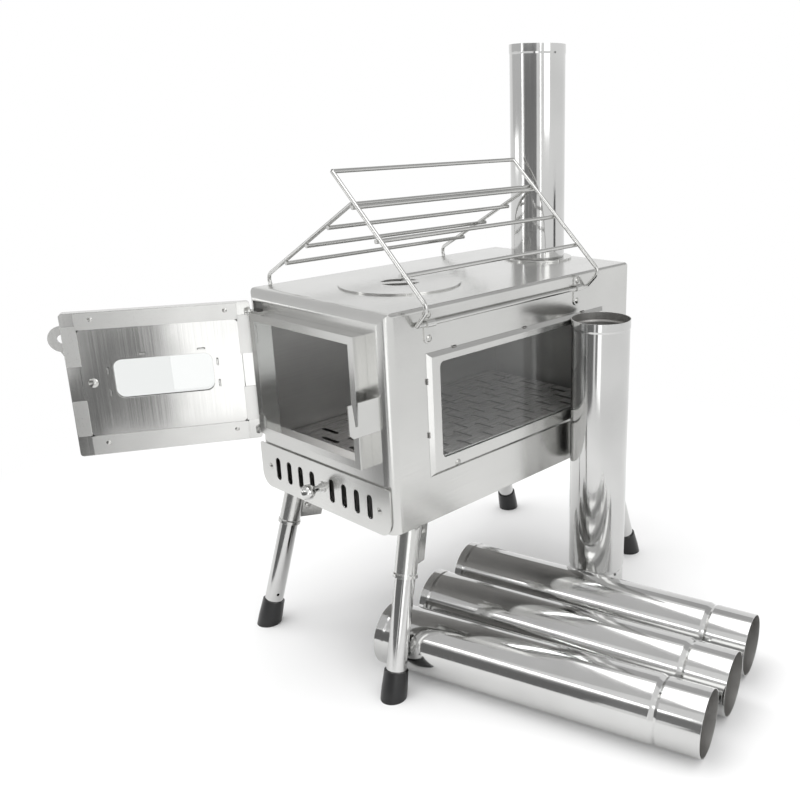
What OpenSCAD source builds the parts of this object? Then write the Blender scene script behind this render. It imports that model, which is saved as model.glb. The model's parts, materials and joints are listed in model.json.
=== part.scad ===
// Camping wood stove: sheet steel firebox with a glazed door, side window, folding pan racks,
// plug-in legs, ash drawer and plug-together chimney. Millimetres, +Z up, the door at the front (-Y).

/* [Firebox] */
// Width of the firebox, left to right
body_w = 200; // [160:1:260]
// Length of the firebox, front to back
body_l = 350; // [320:1:420]
// Height of the firebox
body_h = 200; // [190:1:240]
// Height of the underside above the ground
leg_room = 159; // [140:1:190]
// Thickness of the body sheet
sheet = 1; // [0.6:0.1:1.5]
// Radius of the pressed edges round the front panel
front_r = 11; // [6:0.5:14]
// Radius of the bend between the top and the sides
side_r = 4; // [2:0.5:6]

/* [Door] */
// Distance from each side of the body to the door collar
door_side = 24; // [22:0.5:34]
// Distance from the top of the body to the door collar
door_room = 19; // [17:0.5:32]
// Distance that the collar stands out of the front panel
collar_out = 14; // [10:0.5:18]
// Depth of the door pan
door_t = 9; // [8:0.5:12]
// Angle that the door stands open in the rest pose
door_open = 121; // [60:1:125]
// Diameter of the hinge pins
hinge_pin_d = 3.5; // [2.5:0.1:4]
// Distance from each side of the door collar to the door window
door_window_side = 32.5; // [28:0.5:42]
// Height of the door window
door_window_h = 37; // [25:1:45]

/* [Latch] */
// Distance from the latch pivot to the centre of its thumb disc
lever_l = 46.5; // [40:0.5:52]
// Radius of the thumb disc
lobe_r = 12; // [9:0.5:14]
// Angle of the lever above the horizontal in the rest pose
lever_raise = 62; // [30:1:85]
// Thickness of the lever
lever_t = 2; // [1.5:0.1:2.5]

/* [Side window] */
// Distance from each end of the body to the window opening
window_end = 59; // [55:1:90]
// Distance from the top of the body to the window opening
window_top = 50.5; // [46:0.5:66]
// Thickness of the window glass
glass_t = 2.4; // [2:0.1:3]

/* [Hob and flue] */
// Diameter of the lift-out hot plate
plate_d = 118.6; // [90:0.2:130]
// Thickness of the hot plate
plate_t = 2.5; // [2:0.1:4]
// Outer diameter of the chimney pipe
pipe_d = 60; // [50:1:61]
// Wall of the chimney pipe
pipe_wall = 0.6; // [0.5:0.1:1]
// Length of the drawn-in end of each pipe section
neck_l = 45; // [35:1:50]
// Length of the chimney section on the stove
chimney_l = 267; // [200:1:320]
// Length of each spare section
spare_l = 318; // [250:1:318]

/* [Racks] */
// Diameter of the rack wire
wire_d = 4; // [3:0.5:5]
// How much shorter the rack arms are than the body is wide
arm_short = 41.3; // [30:0.1:46]
// Length of the short legs between the pivot rod and the arms
crank_l = 22.4; // [18:0.1:24]

/* [Legs] */
// Outer diameter of the leg tubes
leg_d = 19; // [16:0.5:20]
// Lean of the legs out of the vertical
leg_lean = 15.8; // [12:0.1:17]
// Length of leg tube inside its socket
leg_grip = 44; // [36:1:45]

/* [Ash drawer] */
// Distance from each side of the body to the drawer front
drawer_side = 2; // [1:0.5:10]
// Height of the drawer front
drawer_h = 46; // [42:1:50]
// Number of air slots on each side of the knob
air_slots = 4; // [2:1:4]
// Diameter of the drawer knob
knob_d = 14.6; // [12:0.1:18]

/* [Hidden] */
$fn = 48;
overrun = 2;
run_clear = 0.05;
slip = 0.3;
reach = 900;

// Body faces
half_w = body_w / 2;
half_l = body_l / 2;
front_y = -half_l;
under_z = leg_room;
top_z = leg_room + body_h;

// Rivets
rivet_r = 1.6;
rivet_head_r = 3.3;
rivet_head_h = 1.3;
rivet_tail_r = 2.5;
rivet_tail_h = 0.9;

// Door collar
collar_t = 1.2;
collar_up = 62;
collar_w = body_w - 2 * door_side;
collar_h = body_h - collar_up - door_room;
collar_z0 = under_z + collar_up;
collar_z1 = collar_z0 + collar_h;
collar_mid_z = (collar_z0 + collar_z1) / 2;
collar_back = 8;
collar_lip = 6;
collar_y0 = front_y - collar_out;
collar_half = collar_w / 2;
collar_slot_l = 18;
collar_slot_w = 5;
collar_slot_shares = [0.064, 0.821];
notch_w = 16;
notch_h = 8;

// Hinge
hinge_out = 5;
hinge_back = 3;
hinge_x = -collar_half - hinge_out;
hinge_y = collar_y0 + hinge_back;
hinge_pin_r = hinge_pin_d / 2;
lug_t = 1.5;
lug_r = 4;
lug_side = 1.2;
lug_over = 12;
ear_r = 4;
ear_gap = 0.4;
pin_head_r = 3;
pin_head_h = 1.2;
upper_ear_z = collar_z1 - ear_gap - lug_t;
lower_ear_z = collar_z0 + ear_gap;
upper_lug_z = collar_z1;
lower_lug_z = collar_z0 - lug_t;

// Door pan, in the closed position
door_sheet = 1;
door_margin = 8.5;
door_over_left = 6.5;
door_over_right = 6;
door_x0 = -collar_half - door_over_left;
door_x1 = collar_half + door_over_right;
door_w = door_x1 - door_x0;
door_z0 = collar_z0 - door_margin;
door_z1 = collar_z1 + door_margin;
door_h = door_z1 - door_z0;
door_mid_x = (door_x0 + door_x1) / 2;
door_mid_z = (door_z0 + door_z1) / 2;
door_gap = 1.7;
door_y1 = collar_y0 - door_gap;
door_y0 = door_y1 - door_t;
door_corner_r = 3;
door_flange = 11;
door_sill = 17;
door_inner_h = door_h - door_flange - door_sill;
door_inner_z = door_z0 + door_sill + door_inner_h / 2;
window_x = door_mid_x;
door_window_up = 3.5;
door_window_w = collar_w - 2 * door_window_side;
window_z = door_mid_z + door_window_up;
window_r = 8;
liner_margin = 0.5;
liner_w = door_w - 2 * door_flange - 2 * liner_margin;
liner_top_gap = 3.5;
liner_h = door_inner_h - liner_margin - liner_top_gap;
liner_r = 8;
liner_z = door_z0 + door_sill + liner_margin + liner_h / 2;
liner_y = door_y1 - door_sheet;
retainer_rim = 9;
retainer_t = 1;
door_glass_t = 3;
door_glass_rim = 8;
door_glass_y0 = door_y0 + door_sheet + run_clear;
retainer_y0 = door_glass_y0 + door_glass_t + run_clear;
tab_w = 6;
tab_t = 1;
tab_out = 1.6;
tab_hole_w = 7;
tab_hole_t = 1.6;
tab_x_shares = [-0.36, 0.18, 0.5, 0.5, -0.5, -0.5];
tab_z_shares = [0.5, 0.5, 0.2, -0.26, 0.2, -0.26];
door_rivet_x_shares = [-0.36, 0.345];
door_rivet_z_shares = [-0.452, 0.492];

// Latch lever and its catch
pivot_x_share = 0.875;
pivot_z_share = 0.515;
pivot_x = door_x0 + pivot_x_share * door_w;
pivot_z = door_z0 + pivot_z_share * door_h;
pivot_r = 2.5;
pivot_washer_r = 6;
pivot_washer_t = 0.6;
pivot_head_r = 4.6;
pivot_head_h = 1.2;
lever_w = 16;
lever_hole_r = 4;
lever_gap = 0.1;
lever_y1 = door_y0 - pivot_washer_t - lever_gap;
lever_y0 = lever_y1 - lever_t;
catch_out = 13;
catch_x = collar_half + catch_out;
catch_t = 1.5;
catch_root_h = 30;
catch_under = 6.5;
catch_below = 10;
catch_drop = lever_w / 2 + catch_under;
catch_z0 = pivot_z - catch_drop - catch_below;
catch_z1 = catch_z0 + catch_root_h;
catch_slot_z = pivot_z - catch_drop;
catch_mouth = 3.5;
catch_seat = 1.3;
catch_finger = 4.3;
catch_chamfer = 4;
catch_foot = 7;
catch_mid_y = (lever_y0 + lever_y1) / 2;
catch_tip_y = catch_mid_y - catch_mouth - catch_finger;
catch_rivet_drop = 1;
catch_rivet_z = (catch_z0 + catch_z1) / 2 - catch_rivet_drop;

// Side window
window_low = 58.5;
window_l = body_l - 2 * window_end;
window_h = body_h - window_top - window_low;
window_mid_z = under_z + window_low + window_h / 2;
window_corner_r = 5;
window_border = 13.5;
window_slope = 4;
window_proud = 3.5;
window_sheet = 0.9;
window_drop = 2;
glass_rim = 6;
glass_gap = 0.1;
window_top_z = window_mid_z + window_h / 2;
frame_half_l = window_l / 2 + window_border;
frame_z0 = window_mid_z - window_h / 2 - window_border - window_drop;
frame_z1 = window_top_z + window_border - 2 * window_drop;
frame_h = frame_z1 - frame_z0;
notch_l = 5;
notch_t = 1.6;
window_notch_shares = [[-1, 0.35], [-1, 0.78], [-0.73, 1], [0.015, 1], [0.73, 1], [1, 0.35], [1, 0.78]];
window_rivet_in = 32;
window_rivet_up = 6;
window_rivet_y = frame_half_l - window_rivet_in;
window_rivet_z = frame_z0 + window_rivet_up;

// Hot plate and flue
plate_back = 107.5;
plate_y = front_y + plate_back;
plate_gap = 0.3;
seat_w = 7;
seat_t = 1;
slot_r = 19;
bar_w = 10;
bar_turn = 57;
flue_in = 34;
flue_y = half_l - flue_in;
flange_w = 8.3;
flange_r = pipe_d / 2 + flange_w;
flange_t = 1.8;
flange_notch = 4;
flange_notch_turn = 12;
spigot_wall = 0.8;
pipe_r = pipe_d / 2;
bore_r = pipe_r - pipe_wall;
pipe_fit = 0.1;
neck_r = bore_r - pipe_fit;
bead_l = 5;
bead_in = 1;
band_l = 8;
band_out = 0.5;
step_l = 2;
flare_r = pipe_r + band_out;

// Racks
wire_r = wire_d / 2;
arm_l = body_w - arm_short;
rack_front = 34.3;
rack_end = 76.5;
rack_y0 = front_y + rack_front;
rack_y1 = half_l - rack_end;
rack_bend = 8;
pivot_out = 3;
rack_x = half_w + pivot_out;
rack_drop = 14.3;
rack_z = top_z - rack_drop;
weld = 0.9;
clip_w = 10;
clip_t = 1.2;
clip_inset = 15;
clip_up = 7.5;
clip_down = 13.5;
clip_ys = [rack_y0 + clip_inset, rack_y1 - clip_inset];

// The top bar of the left rack lies under the arms of the right one, against its third crossbar
lean_gap = wire_d + slip;
lean_share = 0.9846;
swing_r = sqrt(pow(arm_l, 2) + pow(crank_l, 2));
right_rest = 180 - asin((lean_share * swing_r - crank_l + lean_gap) / (2 * rack_x));
right_corner_x = rack_x + crank_l * cos(right_rest - 90);
right_corner_z = rack_z + crank_l * sin(right_rest - 90);
start_x = right_corner_x - lean_gap * cos(right_rest - 90) + rack_x;
start_z = right_corner_z - lean_gap * sin(right_rest - 90) - rack_z;
half_b = start_x * cos(right_rest) + start_z * sin(right_rest);
bar_at = -half_b - sqrt(pow(half_b, 2) - pow(start_x, 2) - pow(start_z, 2) + pow(swing_r, 2));
bar_x = start_x + bar_at * cos(right_rest);
bar_z = start_z + bar_at * sin(right_rest);
left_rest = 180 - atan2(bar_z, bar_x) + atan(crank_l / arm_l);
crossbar_step = (bar_at - sqrt(pow(lean_gap, 2) - pow(lean_gap - weld * wire_d, 2))) / 3;

// Legs
leg_turn = 18;
foot_x = half_w;
foot_out = 17;
foot_y = half_l + foot_out;
leg_mid_y = 5;
leg_r = leg_d / 2;
leg_wall = 1;
cap_wall = 2.75;
cap_top_wall = 1.75;
cap_r = leg_r + cap_wall;
cap_top_r = leg_r + cap_top_wall;
cap_l = 26;
cap_foot_l = 8;
cap_sole = 4;
cap_under = 8;
eye_r = 1.5;
eye_up = 9;
leg_top_drop = 7;
leg_top = (under_z - leg_top_drop) / cos(leg_lean);
socket_low = leg_top - leg_grip;
socket_wall = 1;
socket_bore_r = leg_r + run_clear;
socket_r = socket_bore_r + socket_wall;
socket_mid_r = socket_bore_r + socket_wall / 2;
socket_rise = 20;
web_start = 6;
lip_l = 3;
lip_out = 1;
web_out = 33;
web_t = 2;
web_rise = 10;
web_rivet_shares = [[0.485, 0.455], [0.788, 0.864]];
pad_t = 1.5;
pad_w = 24;
pad_back = 12;
pad_front = 36;
crescent_r = 4;

// Ash drawer
drawer_t = 1.5;
drawer_gap = 0.5;
drawer_drop = 1.5;
drawer_w = body_w - 2 * drawer_side;
drawer_corner_r = 14;
drawer_top_r = 2;
drawer_y1 = front_y - drawer_gap;
drawer_y0 = drawer_y1 - drawer_t;
drawer_z0 = under_z - drawer_drop;
drawer_mid_z = drawer_z0 + drawer_h / 2;
air_w = 7.5;
air_l = 23.5;
air_first = 15;
air_end = 13.1;
air_steps = 3;
tray_gap = 1;
tray_side = 1.5;
tray_half = half_w - front_r - tray_side;
drawer_rivet_in = 4.5;
drawer_rivet_x = tray_half - drawer_rivet_in;
air_pitch = (drawer_rivet_x - air_end - air_first) / air_steps;
tray_room = 50;
tray_l = body_l - tray_room;
tray_t = 1;
tray_z0 = under_z + sheet + slip;
tray_h = 34;
tray_window = 9;
tray_sill = 6;
knob_out = 16;
knob_stem_r = 3;
knob_washer_r = 5.5;
knob_washer_t = 1.2;
knob_neck_r = 4;
knob_neck_l = 3;

// Fire grate
rail_t = 1;
rail_w = 9;
rail_h = 12;
rail_up = 43;
rail_z = under_z + rail_up;
rail_end = 10;
grate_t = 1.5;
grate_gap = 1.5;
grate_slot_l = 26;
grate_slot_w = 5;
grate_rows = 19;
grate_cols = 4;
grate_side = 18.5;
grate_end = 14;
grate_z = rail_z + rail_t + run_clear;

// Spare pipes beside the stove: each lying one is set out from its neighbour, the first from the leg
lie_turns = [14.4, 12.5, 12.2];
lie_back = 35.75;
lie_leg_room = 11.8;
lie_shift_2 = 4.77;
lie_shift_3 = -1.78;
lie_gap_2 = 7.05;
lie_gap_3 = 8.12;
stand_gap = 0.5;
stand_lie_gap = 1.1;
lie_off_1 = leg_r + flare_r + lie_leg_room;
lie_1 = set_out([foot_x, leg_mid_y - foot_y], lie_turns[0], spare_l / 2 - lie_back, lie_off_1);
lie_2 = set_out(lie_1, lie_turns[0], lie_shift_2, 2 * flare_r + lie_gap_2);
lie_3 = set_out(lie_2, lie_turns[1], lie_shift_3, 2 * flare_r + lie_gap_3);
lie_spots = [lie_1, lie_2, lie_3];
stand_x = half_w + window_proud + flare_r + stand_gap;
stand_out = pipe_r + neck_r + stand_lie_gap;
stand_y = lie_3[1] + (stand_out + (stand_x - lie_3[0]) * sin(lie_turns[2])) / cos(lie_turns[2]);

// The whole set stands with the middle of its base at the origin
lobe_reach = pivot_x + lever_l * cos(lever_raise) + lobe_r - hinge_x;
set_left = hinge_x + lobe_reach * cos(door_open) + (lever_y0 - hinge_y) * sin(door_open);
set_front = hinge_y - lobe_reach * sin(door_open) + (lever_y1 - hinge_y) * cos(door_open);
set_right = lie_1[0] + spare_l / 2 * cos(lie_turns[0]) + neck_r * sin(lie_turns[0]);
sole_reach = cap_r * sqrt(pow(cos(leg_turn) / cos(leg_lean), 2) + pow(sin(leg_turn), 2));
set_back = leg_mid_y + foot_y + sole_reach;
origin_x = (set_left + set_right) / 2;
origin_y = (set_front + set_back) / 2;

// Shared forms

// Place reached from a point by a way along a direction and a way to its left
function set_out(from, turn, along, off) =
    from + [along * cos(turn) - off * sin(turn), along * sin(turn) + off * cos(turn)];

module set_place() {
    translate([-origin_x, -origin_y, 0]) children();
}

// Flat rounded rectangle, centred
module rounded_rect(w, h, r) {
    square([w - 2 * r, h], center = true);
    square([w, h - 2 * r], center = true);
    for (x = [-1, 1], y = [-1, 1])
        translate([x * (w / 2 - r), y * (h / 2 - r)]) circle(r);
}

// Upright rounded plate facing the front, from y to y + t, centred on x and z
module front_plate(x, y, z, w, h, t, r) {
    translate([x, y + t, z]) rotate([90, 0, 0]) linear_extrude(t) rounded_rect(w, h, r);
}

// Upright rounded plate facing the side, from x to x + t, centred on y and z
module side_plate(x, y, z, l, h, t, r) {
    translate([x, y, z]) rotate([90, 0, 90]) linear_extrude(t) rounded_rect(l, h, r);
}

// Round bar between two heights
module upright(r, z0, z1) {
    translate([0, 0, z0]) cylinder(r = r, h = z1 - z0);
}

// Round bar along Y between two places
module along_y(r, y0, y1) {
    translate([0, y1, 0]) rotate([90, 0, 0]) cylinder(r = r, h = y1 - y0);
}

// Low dome on a flat face
module dome(r, h) {
    ball_r = (pow(r, 2) + pow(h, 2)) / (2 * h);
    intersection() {
        translate([0, 0, h - ball_r]) sphere(ball_r);
        cylinder(r = r, h = h);
    }
}

// Rivet whose outer face lies at z = 0, through sheets of the given total thickness
module rivet(grip) {
    translate([0, 0, -grip]) cylinder(r = rivet_r, h = grip);
    dome(rivet_head_r, rivet_head_h);
    translate([0, 0, -grip]) mirror([0, 0, 1]) dome(rivet_tail_r, rivet_tail_h);
}

module rivet_hole(grip) {
    translate([0, 0, -grip - overrun]) cylinder(r = rivet_r, h = grip + 2 * overrun);
}

module facing_front() {
    rotate([90, 0, 0]) children();
}

module facing_right() {
    rotate([0, 90, 0]) children();
}

module facing_left() {
    rotate([0, -90, 0]) children();
}

// Firebox

// Solid with the outer form of the body, drawn in by one thickness and run out at the back and below
module body_form(inset, run) {
    w = body_w - 2 * inset;
    r = front_r - inset;
    s = side_r - inset;
    y0 = front_y + inset;
    l = body_l - inset + run;
    z0 = under_z - run;
    z1 = top_z - inset;
    intersection() {
        translate([0, 0, z0]) linear_extrude(z1 - z0) {
            translate([-w / 2, y0 + r]) square([w, l - r]);
            translate([-w / 2 + r, y0]) square([w - 2 * r, l]);
            for (x = [-1, 1])
                translate([x * (w / 2 - r), y0 + r]) circle(r);
        }
        translate([0, y0 + l, 0]) rotate([90, 0, 0]) linear_extrude(l) {
            translate([-w / 2, z0]) square([w, z1 - z0 - s]);
            translate([-w / 2 + s, z0]) square([w - 2 * s, z1 - z0]);
            for (x = [-1, 1])
                translate([x * (w / 2 - s), z1 - s]) circle(s);
        }
        translate([-w / 2, 0, 0]) rotate([90, 0, 90]) linear_extrude(w) {
            translate([y0, z0]) square([l, z1 - z0 - r]);
            translate([y0 + r, z0]) square([l - r, z1 - z0]);
            translate([y0 + r, z1 - r]) circle(r);
        }
    }
}

// Places on the right wall, facing outward
module at_window_notches() {
    for (s = window_notch_shares)
        translate([half_w, s[0] * frame_half_l, frame_z0 + s[1] * frame_h])
            rotate([s[1] == 1 ? 90 : 0, 0, 0]) children();
}

module at_window_rivets() {
    for (y = [-window_rivet_y, window_rivet_y])
        translate([half_w + window_proud, y, window_rivet_z]) facing_right() children();
}

module at_clip_rivets() {
    for (y = clip_ys, dz = [clip_up, -clip_down]) {
        translate([half_w + clip_t, y, rack_z + dz]) facing_right() children();
        translate([-half_w - clip_t, y, rack_z + dz]) facing_left() children();
    }
}

module at_catch_rivet() {
    translate([catch_x - catch_foot / 2, front_y - catch_t, catch_rivet_z]) facing_front() children();
}

module firebox_shell() {
    color("silver") set_place() difference() {
        body_form(0, 0);
        body_form(sheet, overrun);
        translate([0, front_y - overrun, collar_mid_z]) rotate([-90, 0, 0])
            linear_extrude(sheet + 2 * overrun) square([collar_w, collar_h], center = true);
        translate([-tray_half - tray_gap, front_y - overrun, under_z - overrun])
            cube([2 * (tray_half + tray_gap), sheet + 2 * overrun, tray_h + overrun + sheet + 2 * tray_gap]);
        side_plate(half_w - sheet - overrun, 0, window_mid_z, window_l - 2 * tray_gap,
            window_h - 2 * tray_gap, sheet + 2 * overrun, window_corner_r);
        at_window_notches() translate([-sheet - overrun, -notch_t / 2, -notch_l / 2])
            cube([sheet + 2 * overrun, notch_t, notch_l]);
        at_window_rivets() rivet_hole(window_proud + sheet);
        at_clip_rivets() rivet_hole(clip_t + sheet);
        at_catch_rivet() rivet_hole(catch_t + sheet);
        translate([0, plate_y, top_z - sheet - overrun])
            cylinder(r = plate_d / 2 + plate_gap, h = sheet + 2 * overrun);
        translate([0, flue_y, top_z - sheet - overrun])
            cylinder(r = bore_r + spigot_wall, h = sheet + 2 * overrun);
        translate([hinge_x - notch_w / 2 - sheet, front_y - overrun, collar_z1])
            cube([notch_w, sheet + 2 * overrun, notch_h]);
    }
}

module front_collar() {
    inner_w = collar_w - 2 * collar_t;
    inner_h = collar_h - 2 * collar_t;
    way = [inner_w - 2 * collar_lip, inner_h - 2 * collar_lip];
    depth = collar_out + collar_back;
    color("gainsboro") set_place() difference() {
        translate([0, collar_y0, collar_mid_z]) rotate([-90, 0, 0])
            linear_extrude(depth) square([collar_w, collar_h], center = true);
        translate([0, collar_y0 + collar_t, collar_mid_z]) rotate([-90, 0, 0])
            linear_extrude(depth) square([inner_w, inner_h], center = true);
        translate([0, collar_y0 - overrun, collar_mid_z]) rotate([-90, 0, 0])
            linear_extrude(depth) square(way, center = true);
        for (s = collar_slot_shares)
            side_plate(-collar_half - overrun, collar_y0 + collar_t + collar_slot_w / 2,
                collar_z0 + s * collar_h, collar_slot_w, collar_slot_l, collar_t + 2 * overrun,
                collar_slot_w / 2 - run_clear);
    }
}

module back_panel() {
    w = body_w - 2 * sheet;
    h = body_h - 2 * sheet;
    r = side_r - sheet;
    color("silver") set_place()
        translate([0, half_l, under_z + sheet]) rotate([90, 0, 0]) linear_extrude(sheet) {
            translate([-w / 2, 0]) square([w, h - r]);
            translate([-w / 2 + r, 0]) square([w - 2 * r, h]);
            for (x = [-1, 1])
                translate([x * (w / 2 - r), h - r]) circle(r);
        }
}

module bottom_panel() {
    r = front_r - sheet;
    w = body_w - 2 * sheet;
    l = body_l - sheet;
    color("darkgray") set_place()
        translate([0, front_y + sheet, under_z]) linear_extrude(sheet) {
            translate([-w / 2, r]) square([w, l - r]);
            translate([-w / 2 + r, 0]) square([w - 2 * r, l]);
            for (x = [-1, 1])
                translate([x * (w / 2 - r), r]) circle(r);
        }
}

module grate_rails() {
    l = body_l - 2 * sheet - 2 * front_r - rail_end;
    color("gray") set_place() for (x = [-1, 1])
        scale([x, 1, 1]) translate([half_w - sheet - rail_w, -l / 2, rail_z]) {
            cube([rail_w, l, rail_t]);
            translate([rail_w - rail_t, 0, -rail_h]) cube([rail_t, l, rail_h + rail_t]);
        }
}

module fire_grate() {
    w = body_w - 2 * sheet - 2 * grate_gap;
    l = body_l - 2 * sheet - 2 * front_r - 2 * grate_gap;
    pitch_x = (w - 2 * grate_side - grate_slot_l) / (grate_cols - 1);
    pitch_y = (l - 2 * grate_end) / (grate_rows - 1);
    color("dimgray") set_place() translate([0, 0, grate_z]) linear_extrude(grate_t) difference() {
        rounded_rect(w, l, front_r);
        for (row = [0 : grate_rows - 1])
            for (col = [0 : grate_cols - 1 - row % 2])
                translate([(col - (grate_cols - 1 - row % 2) / 2) * pitch_x,
                    -l / 2 + grate_end + row * pitch_y])
                    rounded_rect(grate_slot_l, grate_slot_w, grate_slot_w / 2 - run_clear);
    }
}

// Side window

// Box from the wall out to the face of the frame, with sloping edges
module frame_form(inset, x0) {
    slope = inset + window_slope;
    hull() {
        translate([x0, -frame_half_l + inset, frame_z0 + inset])
            cube([run_clear, 2 * (frame_half_l - inset), frame_h - 2 * inset]);
        translate([half_w + window_proud - inset - run_clear, -frame_half_l + slope, frame_z0 + slope])
            cube([run_clear, 2 * (frame_half_l - slope), frame_h - 2 * slope]);
    }
}

module window_frame() {
    color("gainsboro") set_place() difference() {
        frame_form(0, half_w);
        frame_form(window_sheet, half_w - overrun);
        side_plate(half_w - overrun, 0, window_mid_z, window_l, window_h,
            window_proud + 2 * overrun, window_corner_r);
        at_window_notches() translate([-overrun, -notch_t / 2, -notch_l / 2])
            cube([window_proud + overrun, notch_t, notch_l]);
        at_window_rivets() rivet_hole(window_proud);
    }
}

module window_glass() {
    color([0.35, 0.38, 0.4, 0.45]) set_place()
        side_plate(half_w + glass_gap, 0, window_mid_z, window_l + 2 * glass_rim,
            window_h + glass_rim, glass_t, window_corner_r);
}

// Tabs folded through the wall that hold the window frame
module window_tabs() {
    color("dimgray") set_place() at_window_notches() {
        translate([-sheet, -tab_t / 2, -notch_l / 2]) cube([sheet + tab_out, tab_t, notch_l]);
        translate([-sheet - tab_t, -tab_t / 2, -notch_l / 2]) cube([tab_t, tab_w, notch_l]);
    }
}

module window_rivets() {
    color("white") set_place() at_window_rivets() rivet(window_proud + sheet);
}

// Hob and flue

module plate_seat() {
    color("gray") set_place() translate([0, plate_y, top_z - sheet - seat_t]) linear_extrude(seat_t)
        difference() {
            circle(plate_d / 2 + seat_w);
            circle(plate_d / 2 - seat_w);
        }
}

module hot_plate() {
    color("silver") set_place() translate([0, plate_y, top_z - sheet + run_clear])
        linear_extrude(plate_t) difference() {
            circle(plate_d / 2);
            difference() {
                circle(slot_r);
                rotate(bar_turn) square([3 * slot_r, bar_w], center = true);
            }
        }
}

module flue_collar() {
    color("gainsboro") set_place() translate([0, flue_y, 0]) difference() {
        union() {
            upright(flange_r, top_z, top_z + flange_t);
            upright(bore_r + spigot_wall, top_z - neck_l - overrun, top_z + flange_t);
        }
        upright(bore_r, top_z - neck_l - 2 * overrun, top_z + flange_t + overrun);
        for (turn = [-flange_notch_turn, flange_notch_turn])
            rotate(turn) translate([flange_r, 0, top_z - overrun])
                cylinder(r = flange_notch / 2, h = flange_t + 2 * overrun);
    }
}

// Pipe section with its drawn-in end at z = 0 and its belled end at z = l
module pipe_section(l) {
    neck_in = neck_r - pipe_wall;
    bead_z = neck_l - step_l - bead_l;
    rotate_extrude() polygon([
        [neck_in, 0], [neck_r, 0], [neck_r, bead_z], [neck_r - bead_in, bead_z + bead_l / 2],
        [neck_r, bead_z + bead_l], [neck_r, neck_l - step_l], [pipe_r, neck_l],
        [pipe_r, l - band_l - step_l], [flare_r, l - band_l], [flare_r, l],
        [flare_r - pipe_wall, l], [flare_r - pipe_wall, l - band_l], [bore_r, l - band_l - step_l],
        [bore_r, neck_l], [neck_in, neck_l - step_l], [neck_in, bead_z + bead_l],
        [neck_in - bead_in, bead_z + bead_l / 2], [neck_in, bead_z]]);
}

module chimney_pipe() {
    color("silver") set_place()
        translate([0, flue_y, top_z + flange_t + slip - neck_l + step_l]) pipe_section(chimney_l);
}

module spare_pipe_standing() {
    color("silver") set_place() translate([stand_x, stand_y, 0]) pipe_section(spare_l);
}

module lying_pipe(i) {
    color("silver") set_place()
        translate([lie_spots[i][0], lie_spots[i][1], flare_r])
            rotate([0, -90, lie_turns[i]]) translate([0, 0, -spare_l / 2]) pipe_section(spare_l);
}

module spare_pipe_1() { lying_pipe(0); }

module spare_pipe_2() { lying_pipe(1); }

module spare_pipe_3() { lying_pipe(2); }

// Door, drawn closed and then swung open about its hinge

module swing_open() {
    translate([hinge_x, hinge_y, 0]) rotate(-door_open) translate([-hinge_x, -hinge_y, 0]) children();
}

module at_door_rivets() {
    for (sx = door_rivet_x_shares, sz = door_rivet_z_shares)
        translate([door_mid_x + sx * door_w, door_y1, door_mid_z + sz * (door_h - door_flange)])
            rotate([-90, 0, 0]) children();
}

module at_liner_tabs() {
    for (i = [0 : len(tab_x_shares) - 1])
        translate([window_x + tab_x_shares[i] * (door_window_w + retainer_rim),
            0, window_z + tab_z_shares[i] * (door_window_h + retainer_rim)])
            rotate([0, abs(tab_z_shares[i]) == 0.5 ? 0 : 90, 0]) children();
}

module pivot_hole(y0, l) {
    translate([pivot_x, 0, pivot_z]) along_y(pivot_r, y0, y0 + l);
}

module door_pan() {
    inner_w = door_w - 2 * door_sheet;
    inner_h = door_h - 2 * door_sheet;
    color("silver") set_place() swing_open() {
        difference() {
            front_plate(door_mid_x, door_y0, door_mid_z, door_w, door_h, door_t, door_corner_r);
            front_plate(door_mid_x, door_y0 + door_sheet, door_mid_z, inner_w, inner_h,
                door_t - 2 * door_sheet, door_corner_r - door_sheet);
            front_plate(door_mid_x, door_y1 - 2 * door_sheet, door_inner_z, door_w - 2 * door_flange,
                door_inner_h, 2 * door_sheet + overrun, door_corner_r);
            front_plate(window_x, door_y0 - overrun, window_z, door_window_w + retainer_rim,
                door_window_h + retainer_rim, door_sheet + 2 * overrun, window_r);
            pivot_hole(door_y0 - overrun, door_sheet + 2 * overrun);
            at_door_rivets() rivet_hole(door_sheet);
        }
        for (z = [upper_ear_z, lower_ear_z])
            translate([0, 0, z]) linear_extrude(lug_t) difference() {
                union() {
                    translate([hinge_x, hinge_y]) circle(ear_r);
                    translate([hinge_x - ear_r / 2, door_y1 - door_sheet])
                        square([ear_r, hinge_y - door_y1 + door_sheet]);
                }
                translate([hinge_x, hinge_y]) circle(hinge_pin_r + run_clear);
            }
    }
}

module door_liner() {
    color("gainsboro") set_place() swing_open() difference() {
        front_plate(door_mid_x, liner_y, liner_z, liner_w, liner_h, door_sheet, liner_r);
        front_plate(window_x, liner_y - overrun, window_z, door_window_w, door_window_h,
            door_sheet + 2 * overrun, window_r);
        at_liner_tabs() translate([-tab_hole_w / 2, liner_y - overrun, -tab_hole_t / 2])
            cube([tab_hole_w, door_sheet + 2 * overrun, tab_hole_t]);
        pivot_hole(liner_y - overrun, door_sheet + 2 * overrun);
    }
}

module door_glass() {
    rim = retainer_rim + door_glass_rim;
    color([0.35, 0.38, 0.4, 0.45]) set_place() swing_open()
        front_plate(window_x, door_glass_y0, window_z, door_window_w + rim, door_window_h + rim,
            door_glass_t, window_r / 2);
}

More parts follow.
